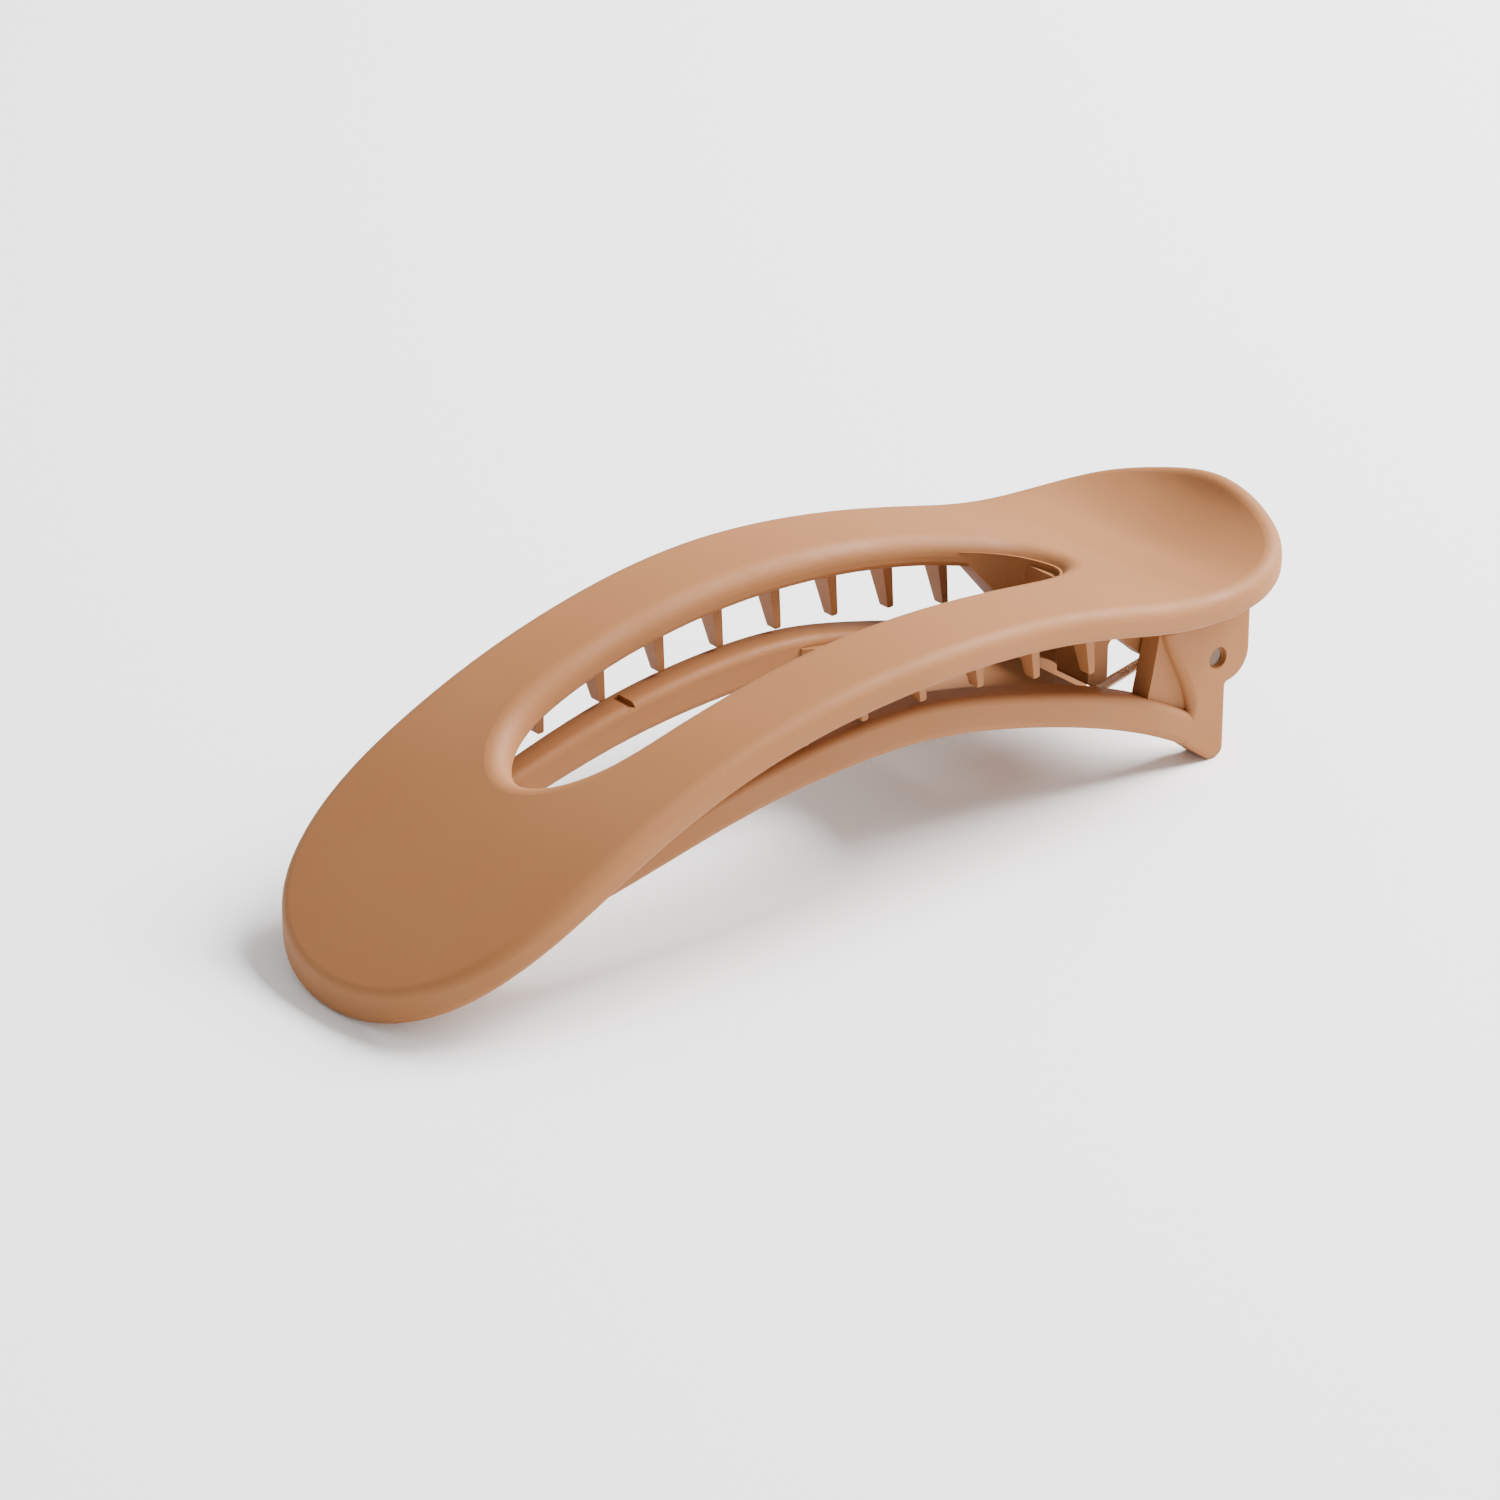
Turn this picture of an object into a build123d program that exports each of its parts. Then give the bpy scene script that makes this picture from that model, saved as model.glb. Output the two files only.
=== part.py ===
from build123d import *
from math import atan2, ceil, cos, pi, radians, sin, sqrt
import os

# A duckbill hair clip, closed and resting on a table as photographed.
# Frame: X runs from the tip of the upper jaw to the curled end of its thumb pad,
# Y runs across, Z is up and Z = 0 is the table. The clip is symmetric about Y = 0
# apart from the two legs of its spring.

# Driving sizes, in millimetres
length = 125.0            # tip to the end of the thumb pad
width = 41.4              # widest place across the upper jaw
crest_height = 28.5       # top of the arch above the table
plate = 3.45              # upper jaw's thickness, square to its surface
pad_middle = 2.8          # the same, in the middle of the thumb pad
dish_depth = 1.3          # middle of the thumb pad below its rim
pad_half = 0.85           # half width of the dish, as a share of the half width
lower_width = 26.4        # across the lower jaw's rails
rail = 4.2                # width of one rail, and its height
crown_height = 18.8       # top of the lower jaw's arch above the table
web = 2.0                 # plate between the rails ahead of the hinge
pin_radius = 1.0
pin_height = 12.3
pin_from_tip = 111.7
lug_radius = 3.0          # upper jaw's lug round the pin
lug_outer = 9.2           # outer face of a lug, from the middle
lug_wall = 2.0
stop_half = 8.6           # half the width of the wall between the lugs
ear_inner = 9.5           # inner face of an ear, from the middle
ear_inset = 1.1           # ear's front part stands in from the rail's side by this
ear_top = 17.4
teeth = 8
tooth_pitch = 8.0
first_tooth = 35.7        # from the tip, at the root
tooth_row = 12.2          # from the middle
first_tooth_length = 3.9
last_tooth_length = 6.6
wire = 1.3                # spring wire
coil_radius = 2.0         # to the middle of the wire
coil_turns = 6
wire_gap = 0.1            # between two turns
wire_sides = 8            # the wire is faceted
steps_per_turn = 12
upper_leg = 68.0          # leg under the pad, degrees up from straight back
lower_leg = 12.0          # leg under the web, degrees down from straight ahead
upper_leg_length = 8.8
lower_leg_length = 14.2
hook_back = 4.6           # bent end of the leg under the web, forward
hook_rise = 1.5           # and up

# Clearances
running = 0.06            # pin to lug bore, radial
snug = 0.02               # pin to ear bore, radial

# Grid of the plate's smooth surfaces: steps along, and steps to each side
grid_along = 44
grid_across = 5

# Rounding
rim_round = 1.5
window_round = 2.1
under_round = 0.7
rail_round = 0.9

# Upper jaw seen from the side: share of the length, height of the rim as a share of the
# crest height, and dish as a share of the dish depth
SIDE = (
    (-0.04, -0.015, 0.0),
    (0.00, 0.127, 0.0),
    (0.10, 0.430, 0.0),
    (0.20, 0.673, 0.0),
    (0.30, 0.847, 0.0),
    (0.40, 0.953, 0.0),
    (0.50, 1.000, 0.0),
    (0.60, 0.990, 0.0),
    (0.70, 0.930, 0.0),
    (0.75, 0.884, 0.0),
    (0.80, 0.838, 0.15),
    (0.85, 0.814, 0.60),
    (0.90, 0.822, 1.00),
    (0.95, 0.878, 0.80),
    (1.00, 0.998, 0.0),
    (1.03, 1.090, 0.0),
)

# Upper jaw seen from above: share of the length, share of the half width
OUTLINE = (
    (0.0125, 0.43),
    (0.05, 0.755),
    (0.10, 0.912),
    (0.20, 0.975),
    (0.35, 0.982),
    (0.50, 1.000),
    (0.60, 0.976),
    (0.70, 0.940),
    (0.80, 0.922),
    (0.86, 0.908),
    (0.91, 0.862),
    (0.95, 0.740),
    (0.9875, 0.41),
)

# Window seen from above: share of the length, share of the window's half width
window_start = 0.205
window_end = 0.785
window_half = 9.0
WINDOW = (
    (0.215, 0.42),
    (0.245, 0.78),
    (0.30, 0.95),
    (0.40, 1.00),
    (0.52, 0.98),
    (0.64, 0.90),
    (0.72, 0.73),
    (0.765, 0.45),
)

# Lower jaw seen from the side: share of the length, top as a share of the crown height,
# height of the section as a share of the rail
LOWER_SIDE = (
    (0.065, 0.245, 0.55),
    (0.10, 0.404, 0.72),
    (0.16, 0.545, 0.85),
    (0.26, 0.735, 0.95),
    (0.36, 0.903, 1.00),
    (0.46, 0.993, 1.05),
    (0.56, 0.990, 1.05),
    (0.66, 0.858, 1.00),
    (0.76, 0.665, 1.02),
    (0.84, 0.440, 1.02),
    (0.88, 0.285, 1.02),
)

# Lower jaw seen from above: share of the length, share of its half width
LOWER_OUTLINE = (
    (0.08, 0.45),
    (0.11, 0.72),
    (0.18, 0.90),
    (0.30, 0.98),
    (0.45, 1.00),
)

# Opening between the rails: share of the length where it starts and ends
frame_start = 0.17
frame_end = 0.615
web_below = 1.2           # web's top below the tops of the rails
web_end = 97.5            # rear edge of the web, from the tip
foot_from_tip = 113.1     # rear face of the feet, from the tip
lobe_from_tip = 116.6     # rear edge of the ears, from the tip
mark_from_tip = 46.8      # small groove across both rails


def along(share):
    """X of a place given as a share of the length from the tip."""
    return (share - 0.5) * length


def at(distance):
    """X of a place given as a distance from the tip."""
    return distance - length / 2


def side_curve(table, column, scale):
    """Smooth curve in XZ through one column of a side table."""
    points = [(along(row[0]), 0, row[column] * scale) for row in table]
    return Spline(*points)


def height_on(curve, x):
    """Height of a side curve at X."""
    low, high = 0.0, 1.0
    for _ in range(40):
        middle = (low + high) / 2
        if (curve @ middle).X < x:
            low = middle
        else:
            high = middle
    return (curve @ low).Z


def slope_on(curve, x):
    """Angle of a side curve at X, in radians."""
    rise = height_on(curve, x + 0.2) - height_on(curve, x - 0.2)
    return atan2(rise, 0.4)


RIM = side_curve(SIDE, 1, crest_height)


def smooth_between(table, column, share):
    """Value of one column of a table at a share of the length, eased between its rows."""
    for before, after in zip(table, table[1:]):
        if before[0] <= share <= after[0]:
            part = (share - before[0]) / (after[0] - before[0])
            part = part * part * (3 - 2 * part)
            return before[column] + part * (after[column] - before[column])
    return table[-1][column]


def dish_below_rim(share, y):
    """How far the thumb pad's dish lies below the rim at a place."""
    bowl = 1 - (y / (pad_half * width / 2)) ** 2
    return smooth_between(SIDE, 2, share) * dish_depth * bowl


def plate_surface(under):
    """Smooth upper or lower surface of the plate, wider than the jaw."""
    first, last = SIDE[0][0], SIDE[-1][0]
    rows = []
    for step in range(grid_along + 1):
        share = first + (last - first) * step / grid_along
        x = along(share)
        rim = height_on(RIM, x)
        steep = cos(slope_on(RIM, x))
        row = []
        for across in range(-grid_across, grid_across + 1):
            y = across / grid_across * (width / 2 + 2)
            dish = dish_below_rim(share, y)
            thin = (plate - pad_middle) * max(dish, 0) / dish_depth
            drop = (plate - thin) / steep if under else 0
            row.append(Vector(x, y, rim - dish - drop))
        rows.append(row)
    return Face.make_surface_from_array_of_points(rows, tol=0.01)


def mirrored_prism(points, start, end):
    """Tall prism from a half outline, its two ends on the middle line."""
    near = [(x, -y) for x, y in points]
    loop = [end] + list(reversed(points)) + [start] + near
    outline = make_face(Spline(*loop, periodic=True))
    return extrude(outline, amount=crest_height * 3, both=True)


def outline_prism():
    points = [(along(s), w * width / 2) for s, w in OUTLINE]
    return mirrored_prism(points, (along(0), 0), (along(1), 0))


def plate_body():
    """The arched plate, trimmed to its outline: all under its top, less all below it."""
    block = extrude(plate_surface(False), amount=plate * 4, dir=(0, 0, -1))
    below = extrude(plate_surface(True), amount=plate * 8, dir=(0, 0, -1))
    return (block & outline_prism()) - below


def window_prism():
    points = [(along(s), w * window_half) for s, w in WINDOW]
    return mirrored_prism(points, (along(window_start), 0), (along(window_end), 0))


def rounded(body):
    """Round the plate's long edges: its rim, the window's upper edge, all lower edges."""
    rim, window, lower = [], [], []
    for edge in body.edges():
        middle = edge @ 0.5
        if abs((edge % 0.5).Z) > 0.95:
            continue
        level = height_on(RIM, middle.X) - plate / 2 / cos(slope_on(RIM, middle.X))
        at_window = along(0.15) < middle.X < along(0.9) and abs(middle.Y) < window_half + 1
        if middle.Z < level:
            lower.append(edge @ 0.5)
        elif at_window:
            window.append(edge @ 0.5)
        else:
            rim.append(edge @ 0.5)
    for places, radius in ((rim, rim_round), (window, window_round), (lower, under_round)):
        edges = [e for e in body.edges() if any((e @ 0.5 - p).length < 0.2 for p in places)]
        body = fillet(edges, radius)
    return body


def underside_at(x):
    """Height of the plate's underside at X, beside the dish."""
    return height_on(RIM, x) - plate / cos(slope_on(RIM, x))


def tooth(number, side):
    """Short tapered blade under the plate, leaning towards the hinge."""
    x = at(first_tooth + number * tooth_pitch)
    part = number / (teeth - 1)
    reach = first_tooth_length + sqrt(part) * (last_tooth_length - first_tooth_length)
    bury = 1.2
    lean = 0.2
    y = side * tooth_row
    root = underside_at(x)
    top = Plane((x - lean * bury, y, root + bury)) * Rectangle(1.5, 3.3)
    low = Plane((x + lean * reach, y, root - reach)) * Rectangle(0.8, 1.4)
    blade = loft([top.face(), low.face()])
    return fillet(blade.edges().group_by(Axis.Z)[0], 0.35)


def lug_face():
    """Side of a lug, up into the plate."""
    pin = (at(pin_from_tip), pin_height)
    face = make_face(Polyline(
        (at(97.0), 18.4),
        (at(100.8), 16.1),
        (at(104.2), 13.2),
        (at(109.0), pin_height - 2.0),
        pin,
        (at(114.2), pin_height + 1.0),
        (at(115.0), 19.6),
        (at(105.0), 20.2),
        (at(97.0), 22.3),
        close=True,
    ))
    return Plane.XZ * (face + Pos(*pin) * Circle(lug_radius))


def stop_face():
    """Side of the wall behind the window, which reaches down between the rails."""
    face = make_face(Polyline(
        (at(90.5), 24.2),
        (at(92.6), 21.2),
        (at(96.4), 16.8),
        (at(96.4), 11.4),
        (at(99.3), 11.4),
        (at(99.3), 16.4),
        (at(101.4), 16.1),
        (at(101.4), 22.2),
        close=True,
    ))
    for place, radius in (((96.4, 11.4), 0.8), ((99.3, 11.4), 0.8), ((99.3, 16.4), 0.8)):
        corner = face.vertices().sort_by_distance((at(place[0]), place[1]))[0]
        face = fillet(corner, radius)
    return Plane.XZ * face


def lugs():
    """Two lugs, and the wall that joins them behind the window."""
    pair = extrude(lug_face(), amount=lug_outer, both=True)
    hollow = 2 * (lug_outer - lug_wall)
    room = Box(30, hollow, 40, align=(Align.MIN, Align.CENTER, Align.CENTER))
    pair = pair - Pos(at(90.0), 0, 0) * room
    wall = extrude(stop_face(), amount=stop_half, both=True)
    return pair + (wall - window_prism())


def pin_rod(radius, half):
    """Round rod across the clip at the hinge."""
    return Pos(at(pin_from_tip), 0, pin_height) * Rot(90, 0, 0) * Cylinder(radius, 2 * half)


def upper_jaw():
    """Arched plate with window, thumb pad, teeth and lugs."""
    body = rounded(plate_body() - window_prism())
    body = body + lugs()
    for number in range(teeth):
        for side in (-1, 1):
            body = body + tooth(number, side)
    return body - pin_rod(pin_radius + running, lug_outer + 1)


LOWER_TOP = side_curve(LOWER_SIDE, 1, crown_height)


def lower_side_face():
    """Rail seen from the side."""
    top = [(along(s), h * crown_height) for s, h, t in LOWER_SIDE]
    under = [(along(s), h * crown_height - t * rail) for s, h, t in LOWER_SIDE]
    ends = [Line(top[0], under[0]), Line(top[-1], under[-1])]
    return Plane.XZ * make_face([Spline(*top), Spline(*under)] + ends)


def lower_outline_prism():
    """Tall prism round the lower jaw: rounded front, straight sides and rear."""
    half = lower_width / 2
    near = [(along(s), -w * half) for s, w in LOWER_OUTLINE]
    far = [(x, -y) for x, y in reversed(near)]
    front = Spline(*far, (along(0.072), 0), *near, tangents=((-1, 0), (1, 0)))
    rear = at(lobe_from_tip)
    path = Polyline(far[0], (rear, half), (rear, -half), near[-1])
    return extrude(make_face([front, path]), amount=crest_height, both=True)


def slot(end):
    """Tall round-ended prism between the rails, back to the given X."""
    start = along(frame_start)
    flat = Pos((start + end) / 2, 0) * SlotOverall(end - start, lower_width - 2 * rail)
    return extrude(flat, amount=crest_height, both=True)


def web_plate():
    """Thin plate between the rails, from the round end of the opening to the hinge."""
    top = [(along(s), h * crown_height - web_below) for s, h, t in LOWER_SIDE[5:]]
    under = [(x, z - web) for x, z in top]
    ends = [Line(top[0], under[0]), Line(top[-1], under[-1])]
    face = Plane.XZ * make_face([Spline(*top), Spline(*under)] + ends)
    plate_between = extrude(face, amount=lower_width / 2 - rail + 0.8, both=True)
    keep = Box(web_end - 70, 40, 60, align=(Align.MIN, Align.CENTER, Align.CENTER))
    return (plate_between & Pos(at(70), 0, 0) * keep) - slot(along(frame_end))


def ear_face(front):
    """Side of an ear: its front edge as given, then its top, lobe and foot."""
    edge = [(at(distance), z) for distance, z in front]
    points = [
        edge[-1],
        (at(lobe_from_tip), ear_top),
        (at(lobe_from_tip), 8.9),
        (at(foot_from_tip), 8.9),
        (at(foot_from_tip), 0.0),
        (at(110.9), 0.0),
        (at(106.6), 3.3),
        edge[0],
    ]
    face = make_face([Spline(*edge), Polyline(*points)])
    rounds = (
        (lobe_from_tip, 8.9, 3.5),
        (foot_from_tip, 8.9, 0.4),
        (foot_from_tip, 0.0, 1.2),
    )
    for distance, z, radius in rounds:
        corner = face.vertices().sort_by_distance((at(distance), z))[0]
        face = fillet(corner, radius)
    return Plane.XZ * face


def across(face, inner, outer, side):
    """Extrude a side face from inner to outer, on one side of the middle."""
    body = extrude(face, amount=(outer - inner) / 2, both=True)
    return Pos(0, side * (inner + outer) / 2, 0) * body


def ear(side):
    """Upright plate with the pin hole: set in at the front, flush with the rail behind."""
    half = lower_width / 2
    slanted = ((101.3, 6.0), (102.2, 9.5), (103.8, ear_top))
    flush = ((107.9, 7.0), (107.0, 10.2), (105.4, 13.5), (103.9, ear_top))
    front = across(ear_face(slanted), ear_inner, half - ear_inset, side)
    rear = across(ear_face(flush), ear_inner, half, side)
    outer = rear.edges().filter_by(lambda e: abs((e @ 0.5).Y) > half - 0.01)
    rear = fillet([e for e in outer if (e @ 0.5).X < at(107.5)], ear_inset - 0.1)
    outer = rear.edges().filter_by(lambda e: abs((e @ 0.5).Y) > half - 0.01)
    rear = fillet([e for e in outer if (e @ 0.5).X > at(107.5)], 0.5)
    return front + rear


def lower_jaw():
    """Arched frame: two rails, joined front end, web, ears with feet."""
    half = lower_width / 2
    body = extrude(lower_side_face(), amount=half + 2, both=True)
    body = body & lower_outline_prism()
    body = body - slot(at(140))
    long_edges = [e for e in body.edges() if e.length > 20]
    body = fillet(long_edges, rail_round)
    body = body + web_plate()
    mark = Pos(at(mark_from_tip), 0, height_on(LOWER_TOP, at(mark_from_tip)))
    body = body - mark * Box(0.9, lower_width - 2.4, 0.9)
    for side in (-1, 1):
        body = body + ear(side)
    body = body - pin_rod(pin_radius + snug, half + 1)
    for side in (-1, 1):
        recess = Pos(at(pin_from_tip), side * half, pin_height) * Rot(90, 0, 0)
        body = body - recess * Cylinder(pin_radius + 0.3, 1.2)
    return body


def spring_path():
    """Middle line of the wire: leg under the pad, coil round the pin, leg under the web."""
    turns = coil_turns + (upper_leg - lower_leg) / 360
    wide = turns * (wire + wire_gap)
    first = radians(upper_leg)
    last = radians(upper_leg - turns * 360)
    tip = Vector(upper_leg_length * cos(first), 0, upper_leg_length * sin(first))
    start = Vector(coil_radius * sin(first), wide / 2, -coil_radius * cos(first))
    points = [start + tip, start]
    steps = ceil(turns * steps_per_turn)
    for step in range(1, steps + 1):
        turned = first + (last - first) * step / steps
        across = wide / 2 - wide * step / steps
        points.append(Vector(coil_radius * sin(turned), across, -coil_radius * cos(turned)))
    run = Vector(-cos(last), 0, -sin(last))
    bend = points[-1] + run * lower_leg_length
    points.append(bend)
    points.append(bend + Vector(-hook_back, 0, hook_rise))
    hinge = Vector(at(pin_from_tip), 0, pin_height)
    return [hinge + point for point in points]


def wire_ring(before, here, after):
    """Corners of the wire's cross section at one point of its middle line."""
    run = (after - before).normalized()
    across = (Vector(0, 1, 0) - run * run.Y).normalized()
    up = run.cross(across)
    turns = [2 * pi * (side + 0.5) / wire_sides for side in range(wire_sides)]
    return [here + (across * cos(turn) + up * sin(turn)) * (wire / 2) for turn in turns]


def spring():
    """Torsion spring, one faceted wire from end to end."""
    path = spring_path()
    ahead = path[1:] + path[-1:]
    behind = path[:1] + path[:-1]
    rings = [wire_ring(*three) for three in zip(behind, path, ahead)]
    faces = [Face(Wire.make_polygon(ring)) for ring in (rings[0], rings[-1])]
    for low, high in zip(rings, rings[1:]):
        for side in range(wire_sides):
            after = (side + 1) % wire_sides
            faces.append(Face(Wire.make_polygon([low[side], low[after], high[after]])))
            faces.append(Face(Wire.make_polygon([low[side], high[after], high[side]])))
    return Solid(Shell(faces))


upper = upper_jaw()
lower = lower_jaw()
pin = pin_rod(pin_radius, lower_width / 2 - 0.5)
coil = spring()
os.makedirs("parts", exist_ok=True)
for name, solid in (("upper_jaw", upper), ("lower_jaw", lower), ("hinge_pin", pin),
                    ("spring", coil)):
    box = solid.bounding_box()
    print(name, round(solid.volume), len(solid.solids()), box)
    export_step(solid, "parts/" + name + ".step")
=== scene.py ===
# %% [markdown]
# # A duckbill hair clip in soft matte plastic
#
# The clip lies closed on a pale table. Its two jaws are moulded in one soft-touch
# plastic, and a steel pin and a coiled spring hide between them at the rear. The solid
# model gives every main shape and its place. This script gives it its looks: finishes,
# the round wire of the spring, the table, the light and the camera.

# %% Load the solid model as a fixed frame
import math
import bpy
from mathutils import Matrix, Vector


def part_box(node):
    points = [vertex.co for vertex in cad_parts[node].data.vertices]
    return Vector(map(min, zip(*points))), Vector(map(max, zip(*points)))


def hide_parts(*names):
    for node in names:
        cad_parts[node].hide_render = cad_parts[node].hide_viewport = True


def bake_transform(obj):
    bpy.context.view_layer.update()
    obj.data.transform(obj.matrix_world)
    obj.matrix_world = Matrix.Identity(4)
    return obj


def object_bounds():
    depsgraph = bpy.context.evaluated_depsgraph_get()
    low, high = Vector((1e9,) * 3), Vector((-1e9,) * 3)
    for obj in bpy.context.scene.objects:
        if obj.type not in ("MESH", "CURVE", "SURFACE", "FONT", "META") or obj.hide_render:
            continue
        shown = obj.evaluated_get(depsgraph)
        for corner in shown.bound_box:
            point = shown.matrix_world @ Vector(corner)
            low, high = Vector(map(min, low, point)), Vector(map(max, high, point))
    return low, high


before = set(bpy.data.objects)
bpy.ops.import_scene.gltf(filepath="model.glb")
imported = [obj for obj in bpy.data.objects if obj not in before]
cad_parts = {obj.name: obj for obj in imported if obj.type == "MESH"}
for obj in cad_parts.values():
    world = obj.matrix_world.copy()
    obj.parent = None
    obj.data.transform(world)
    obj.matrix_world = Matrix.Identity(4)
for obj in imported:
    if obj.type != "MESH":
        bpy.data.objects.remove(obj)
cad_low, cad_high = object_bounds()
upper_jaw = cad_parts["upper_jaw"]
lower_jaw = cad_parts["lower_jaw"]
hinge_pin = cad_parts["hinge_pin"]
print("clip, mm:", [round((b - a) * 1000, 1) for a, b in zip(cad_low, cad_high)])

# %% [markdown]
# ## Where things are
#
# All places are in metres, and the middle of the clip's footprint is the origin. A
# maker measures from the tip, so one small helper turns that distance into X. The pin's
# axis comes from the solid pin itself, and the joint turns about the same line.

# %% Distances from the tip, and the pin's axis
mm = 0.001
tip_x = cad_low.x
pin_low, pin_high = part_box("hinge_pin")
pin_axis = (pin_low + pin_high) / 2


def from_tip(distance):
    """X of a place given in millimetres from the clip's tip."""
    return tip_x + distance * mm


print("pin axis, mm from tip and above table:",
      round((pin_axis.x - tip_x) * 1000, 2), round(pin_axis.z * 1000, 2))

# %% [markdown]
# ## Mixing helpers for the finishes
#
# Every finish is a small graph of shader nodes. These helpers keep the graphs short:
# one adds a node and fills in its sockets, one makes a soft cloud of noise at a given
# size, one stretches a value to a new range, and one blends two colours by a value. The
# clouds use the object's own coordinates, so the grain has its true size and stays put
# when a jaw opens.

# %% Node helpers
def new_finish(name):
    """An empty material with its shader and output nodes."""
    finish = bpy.data.materials.new(name)
    finish.use_nodes = True
    tree = finish.node_tree
    return finish, tree, tree.nodes["Principled BSDF"]


def add(tree, kind, **values):
    """One node, with its sockets filled in by name."""
    node = tree.nodes.new(kind)
    for name, value in values.items():
        node.inputs[name.replace("_", " ")].default_value = value
    return node


def place_on(tree):
    """The object's own coordinates."""
    return tree.nodes.new("ShaderNodeTexCoord").outputs["Object"]


def cloud(tree, size_mm, detail=2.0, roughness=0.5):
    """Soft noise whose blobs are about size_mm across."""
    noise = add(tree, "ShaderNodeTexNoise", Scale=1 / (size_mm * mm),
                Detail=detail, Roughness=roughness)
    tree.links.new(place_on(tree), noise.inputs["Vector"])
    return noise.outputs["Fac"]


def ramp(tree, source, low, high, from_value, to_value):
    """Stretch a value from one range to another."""
    node = add(tree, "ShaderNodeMapRange", From_Min=low, From_Max=high,
               To_Min=from_value, To_Max=to_value)
    tree.links.new(source, node.inputs["Value"])
    return node.outputs["Result"]


def blend(tree, share, first, second):
    """Colour between two colours. Each is a fixed colour or the output of a node."""
    mix = tree.nodes.new("ShaderNodeMix")
    mix.data_type = "RGBA"
    tree.links.new(share, mix.inputs["Factor"])
    for socket, colour in (("A", first), ("B", second)):
        entry = next(s for s in mix.inputs if s.identifier == socket + "_Color")
        if isinstance(colour, tuple):
            entry.default_value = colour
        else:
            tree.links.new(colour, entry)
    return next(s for s in mix.outputs if s.identifier == "Result_Color")


def bumps(tree, shader, height, strength, depth_mm):
    """Fine relief from a value."""
    bump = add(tree, "ShaderNodeBump", Strength=strength, Distance=depth_mm * mm)
    tree.links.new(height, bump.inputs["Height"])
    tree.links.new(bump.outputs["Normal"], shader.inputs["Normal"])


# %% [markdown]
# ## Soft-touch plastic
#
# The clip is moulded in a warm tan plastic with a soft-touch coat. It shows no sharp
# highlight: light spreads into broad soft bands. The mould's spark-eroded texture is a
# very fine grain, the coat's gloss drifts from place to place, and handling polishes the
# top of the arch and the thumb pad a little. A high roughness gives the soft bands, and
# three scales of noise give the grain, the drift and the wear.

# %% Finish of both jaws
plastic_tan = (0.290, 0.117, 0.0385, 1.0)
plastic_deep = (0.272, 0.107, 0.0345, 1.0)
plastic_dust = (0.330, 0.150, 0.0600, 1.0)


def soft_plastic(name):
    """Fine matte grain, drifting gloss and a few pale flecks."""
    finish, tree, shader = new_finish(name)
    drift = ramp(tree, cloud(tree, 22.0), 0.35, 0.65, 0.0, 1.0)
    base = blend(tree, drift, plastic_deep, plastic_tan)
    fleck = ramp(tree, cloud(tree, 0.9, detail=5.0, roughness=0.7), 0.68, 0.80, 0.0, 0.35)
    tree.links.new(blend(tree, fleck, base, plastic_dust), shader.inputs["Base Color"])
    patch = cloud(tree, 6.0, detail=4.0)
    tree.links.new(ramp(tree, patch, 0.3, 0.7, 0.58, 0.70), shader.inputs["Roughness"])
    bumps(tree, shader, cloud(tree, 0.16, detail=3.0, roughness=0.6), 0.16, 0.03)
    shader.inputs["IOR"].default_value = 1.42
    shader.inputs["Specular IOR Level"].default_value = 0.35
    return finish


jaw_finish = soft_plastic("soft_touch_plastic")
print("soft plastic:", len(jaw_finish.node_tree.nodes), "nodes")

# %% [markdown]
# ## Drawn steel
#
# Pin and spring are plain steel, but the pin's colours are darkened as painted shade of
# the recess it sits in. Drawing the wire leaves faint scratches along it, and handling
# leaves slightly duller patches. Two noises make them.

# %% Finish of the pin and the spring
def drawn_steel(name, dull, bright):
    """Plain steel between two colours, duller where it is handled."""
    finish, tree, shader = new_finish(name)
    shader.inputs["Metallic"].default_value = 1.0
    wear = cloud(tree, 1.6, detail=4.0)
    tree.links.new(blend(tree, wear, dull, bright), shader.inputs["Base Color"])
    tree.links.new(ramp(tree, wear, 0.3, 0.7, 0.20, 0.36), shader.inputs["Roughness"])
    bumps(tree, shader, cloud(tree, 0.25), 0.15, 0.02)
    return finish


wire_finish = drawn_steel("spring_steel", (0.78, 0.77, 0.75, 1.0), (0.94, 0.93, 0.91, 1.0))
# The pin's two colours are steel darkened to near-black brown: painted shade of the recess in
# the ear.
pin_finish_painted_shade = drawn_steel("pin_steel_painted_shade", (0.07, 0.045, 0.032, 1.0), (0.15, 0.10, 0.075, 1.0))
print("steel:", len(wire_finish.node_tree.nodes), "nodes each")

# %% [markdown]
# ## The jaws and the pin
#
# The solid jaws already have their arches, window, teeth and rounded rims, so they stay
# as they are and only get the finish. The pin's end shows in the ear. Its steel is painted
# far darker than the spring, as painted shade of the recess it sits in.

# %% Dress the solid pieces
def dress(piece, finish):
    """Give a piece one finish."""
    piece.data.materials.clear()
    piece.data.materials.append(finish)
    print(piece.name, len(piece.data.polygons), "faces")


dress(upper_jaw, jaw_finish)
dress(lower_jaw, jaw_finish)
dress(hinge_pin, pin_finish_painted_shade)

# %% [markdown]
# ## The spring's round wire
#
# The solid spring is faceted, so a round wire stands for it. The wire starts under the
# thumb pad, runs down to the coil, winds six times round the pin, and leaves forward
# to the plate between the lower jaw's rails, where its end is bent up. Walking along
# that line and setting a ring of points round it at each step gives the tube.

# %% Line of the wire
wire = 1.3 * mm
coil_radius = 2.0 * mm
pitch = 1.4 * mm
turns = 6 + 56 / 360
steps_per_turn = 32
half_coil = turns * pitch / 2
pad_leg, web_leg = math.radians(68), math.radians(12)
pad_leg_length, web_leg_length = 8.8 * mm, 14.2 * mm
bent_way, bent_length = Vector((-4.6, 0, 1.5)), 4.8 * mm


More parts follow.
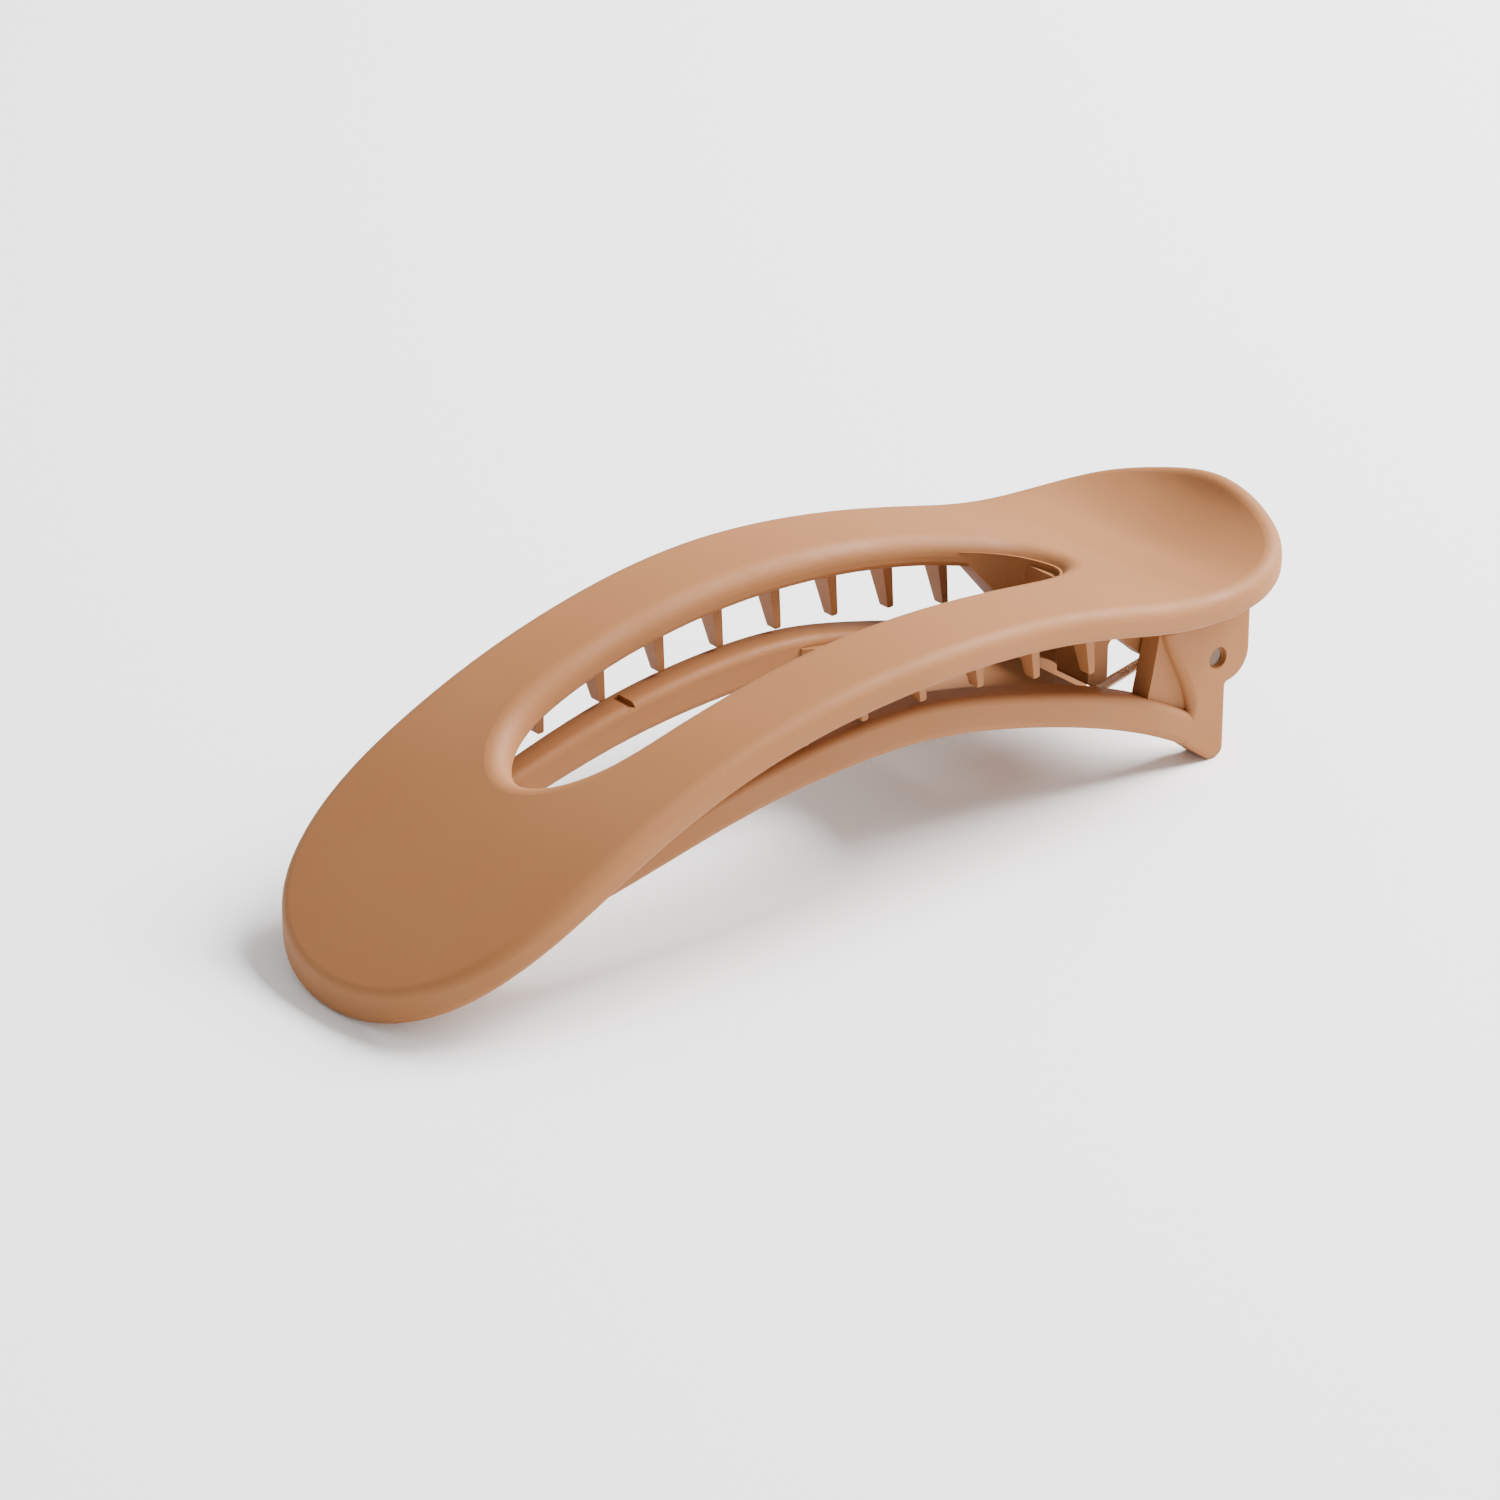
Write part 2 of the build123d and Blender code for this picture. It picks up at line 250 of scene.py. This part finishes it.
def on_coil(angle, y):
    """Place on the coil, and the way the wire leaves it there towards its leg."""
    place = Vector((math.sin(angle), 0, -math.cos(angle))) * coil_radius
    return pin_axis + place + Vector((0, y, 0)), Vector((math.cos(angle), 0, math.sin(angle)))


def wire_line():
    """Middle line of the wire, from the end under the thumb pad to the bent end."""
    start, up = on_coil(pad_leg, half_coil)
    line = [start + up * pad_leg_length, start + up * 0.6 * mm]
    steps = round(turns * steps_per_turn)
    for step in range(steps + 1):
        part = step / steps
        line.append(on_coil(pad_leg - part * turns * math.tau, half_coil * (1 - 2 * part))[0])
    end, back_along = on_coil(web_leg, -half_coil)
    bend = end - back_along * web_leg_length
    bent = bent_way.normalized()
    line.append(end - back_along * 0.6 * mm)
    line.append(bend + back_along * 1.2 * mm)
    line.append(bend + back_along * 0.35 * mm + bent * 0.15 * mm)
    line.append(bend + back_along * 0.10 * mm + bent * 0.45 * mm)
    line.append(bend + bent * 1.2 * mm)
    line.append(bend + bent * bent_length)
    return line


route = wire_line()
print("wire length, mm:", round(sum((b - a).length for a, b in zip(route, route[1:])) * 1000, 1))

# %% [markdown]
# Each ring stands square to the wire, and its first point always looks along the clip's
# width, so the rings never twist against each other. The ends are closed by a small
# rounded cap: three more rings that shrink.

# %% Tube round the line
sides = 16
cap_rings = ((0.18, 0.92), (0.30, 0.70), (0.34, 0.25))   # way out and size, in radii


def tube(name, line, radius):
    """Smooth closed tube round a line of points."""
    ahead = line[1:] + line[-1:]
    behind = line[:1] + line[:-1]
    rings = []
    for place, after, before in zip(line, ahead, behind):
        rings.append((place, (after - before).normalized(), radius))
    for index, way in ((0, -1), (-1, 1)):
        place, run, _ = rings[index]
        caps = [(place + run * way * radius * out, run, radius * size)
                for out, size in cap_rings]
        rings = caps[::-1] + rings if way < 0 else rings + caps
    corners, faces = [], []
    for place, run, size in rings:
        side = (Vector((0, 1, 0)) - run * run.y).normalized()
        up = run.cross(side)
        for step in range(sides):
            turn = math.tau * step / sides
            corners.append(place + (side * math.cos(turn) + up * math.sin(turn)) * size)
    for ring in range(len(rings) - 1):
        for step in range(sides):
            after = (step + 1) % sides
            low, high = ring * sides, (ring + 1) * sides
            faces.append((low + step, low + after, high + after, high + step))
    faces.append(tuple(range(sides))[::-1])
    faces.append(tuple(len(corners) - sides + step for step in range(sides)))
    mesh = bpy.data.meshes.new(name)
    mesh.from_pydata(corners, [], faces)
    mesh.polygons.foreach_set("use_smooth", [True] * len(faces))
    piece = bpy.data.objects.new(name, mesh)
    bpy.context.scene.collection.objects.link(piece)
    return piece


spring_wire = tube("spring_wire", route, wire / 2)
dress(spring_wire, wire_finish)
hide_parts("spring")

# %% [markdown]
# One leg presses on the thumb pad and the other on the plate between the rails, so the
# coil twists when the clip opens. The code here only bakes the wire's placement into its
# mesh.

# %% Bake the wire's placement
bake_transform(spring_wire)

# %% [markdown]
# ## Table and light
#
# The clip was shot on a white table. Its upper surfaces grow brighter from the tip to
# the waist, and the near teeth and the inside stay dark, so one large soft light stands
# beyond the thumb pad, a little to the near side and halfway up, and the rest of the
# room is dim.
# The pale table itself throws light back up onto the near sides of the rails.

# %% Table
table_size = 6.0
just_below = 0.02 * mm
bpy.ops.mesh.primitive_plane_add(size=table_size, location=(0, 0, cad_low.z - just_below))
table_top = bpy.context.object
table_top.name = "table_top"
table_finish, table_tree, table_shader = new_finish("white_table")
table_shader.inputs["Base Color"].default_value = (0.95, 0.945, 0.94, 1.0)
table_shader.inputs["Roughness"].default_value = 0.8
table_top.data.materials.append(table_finish)

# %% Light
room = bpy.data.worlds.new("studio")
bpy.context.scene.world = room
room.use_nodes = True
room.node_tree.nodes["Background"].inputs["Color"].default_value = (1.0, 1.0, 1.0, 1.0)
room.node_tree.nodes["Background"].inputs["Strength"].default_value = 0.8


def soft_box(name, turn, climb, distance, size, power):
    """Square area light that looks at the clip from a heading and a height in degrees."""
    turn, climb = math.radians(turn), math.radians(climb)
    way = Vector((math.sin(turn) * math.cos(climb), -math.cos(turn) * math.cos(climb),
                  math.sin(climb)))
    light = bpy.data.lights.new(name, "AREA")
    light.shape = "SQUARE"
    light.size = size
    light.energy = power
    lamp = bpy.data.objects.new(name, light)
    bpy.context.scene.collection.objects.link(lamp)
    lamp.location = way * distance
    lamp.rotation_mode = "QUATERNION"
    lamp.rotation_quaternion = (-way).to_track_quat("-Z", "Y")
    return lamp


soft_box("side_soft_box", turn=76, climb=43, distance=1.3, size=0.8, power=76)

# %% [markdown]
# ## Camera
#
# The view of the photograph: from the near left, about 25 degrees above the table, with
# a long lens so the clip hardly tapers. The aim point and the distance were found by
# matching the outline of the clip.

# %% Camera
aim = Vector((-6.59, 0.0, 12.30)) * mm
turn, climb, distance = math.radians(-38.9), math.radians(25.14), 585.2 * mm
back = Vector((math.sin(turn) * math.cos(climb), -math.cos(turn) * math.cos(climb),
               math.sin(climb)))
eye = bpy.data.cameras.new("photo_camera")
eye.lens = 131.5
eye.sensor_width = 36.0
eye.shift_x = -0.00125
eye.shift_y = 0.0020
eye.clip_start, eye.clip_end = 0.01, 20.0
camera = bpy.data.objects.new("photo_camera", eye)
bpy.context.scene.collection.objects.link(camera)
camera.location = aim + back * distance
camera.rotation_mode = "QUATERNION"
camera.rotation_quaternion = (-back).to_track_quat("-Z", "Y")
bpy.context.scene.camera = camera
print("camera at, mm:", [round(c * 1000, 1) for c in camera.location])

# %% [markdown]
#
# The solid model's box is printed, in millimetres.

# %% Print the solid model's box
print("cad", [round(c * 1000, 2) for c in (*cad_low, *cad_high)])
